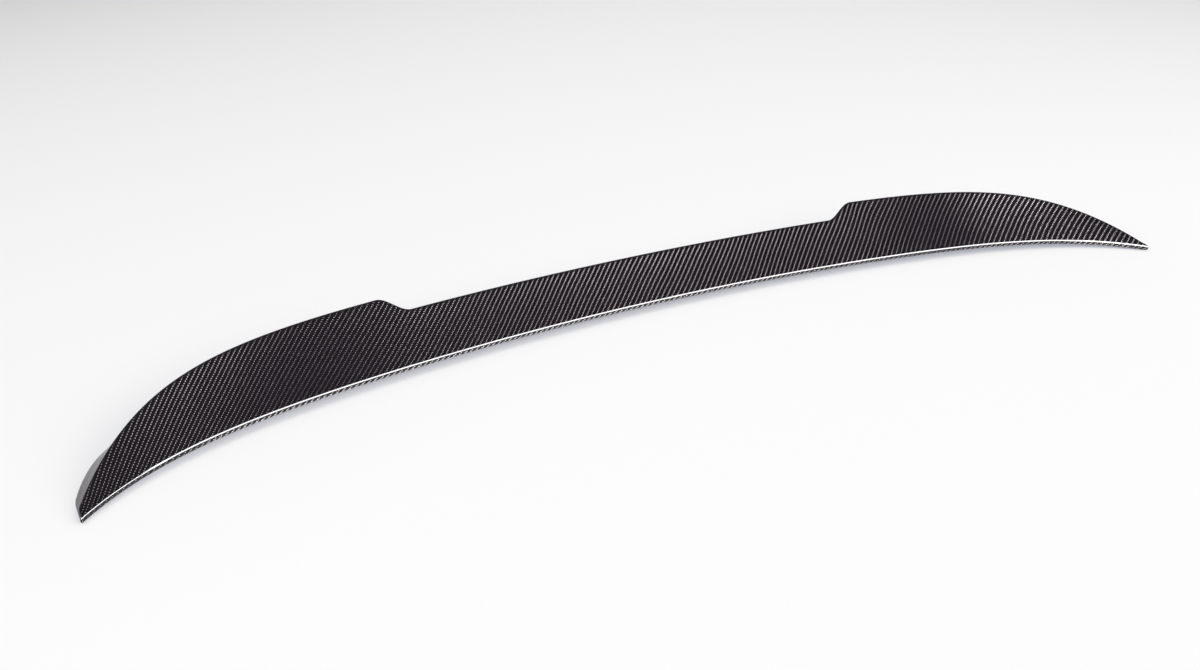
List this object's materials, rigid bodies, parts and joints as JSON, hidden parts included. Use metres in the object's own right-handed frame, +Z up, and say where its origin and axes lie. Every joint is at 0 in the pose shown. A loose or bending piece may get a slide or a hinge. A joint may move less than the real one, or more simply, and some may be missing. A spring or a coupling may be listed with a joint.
{
  "type": "car rear spoiler",
  "caption": "Low boot-lid spoiler: a hollow crescent-shaped carbon-fibre shell with a thin leading lip, a raised trailing crest lowered in the middle by a wide notch, and swept pointed tips.",
  "frame": {"origin": "middle of the footprint, on the plane that the foot stands on", "axes": "+X along the span, +Y from the leading lip towards the rear of the car, +Z up"},
  "size_m": [1.2, 0.2014, 0.0581],
  "materials": {
    "carbon_laminate": "woven 2x2 twill carbon fibre under a gloss clear coat"
  },
  "bodies": {
    "root": {"spoiler_shell": "carbon_laminate"}
  },
  "joints": []
}
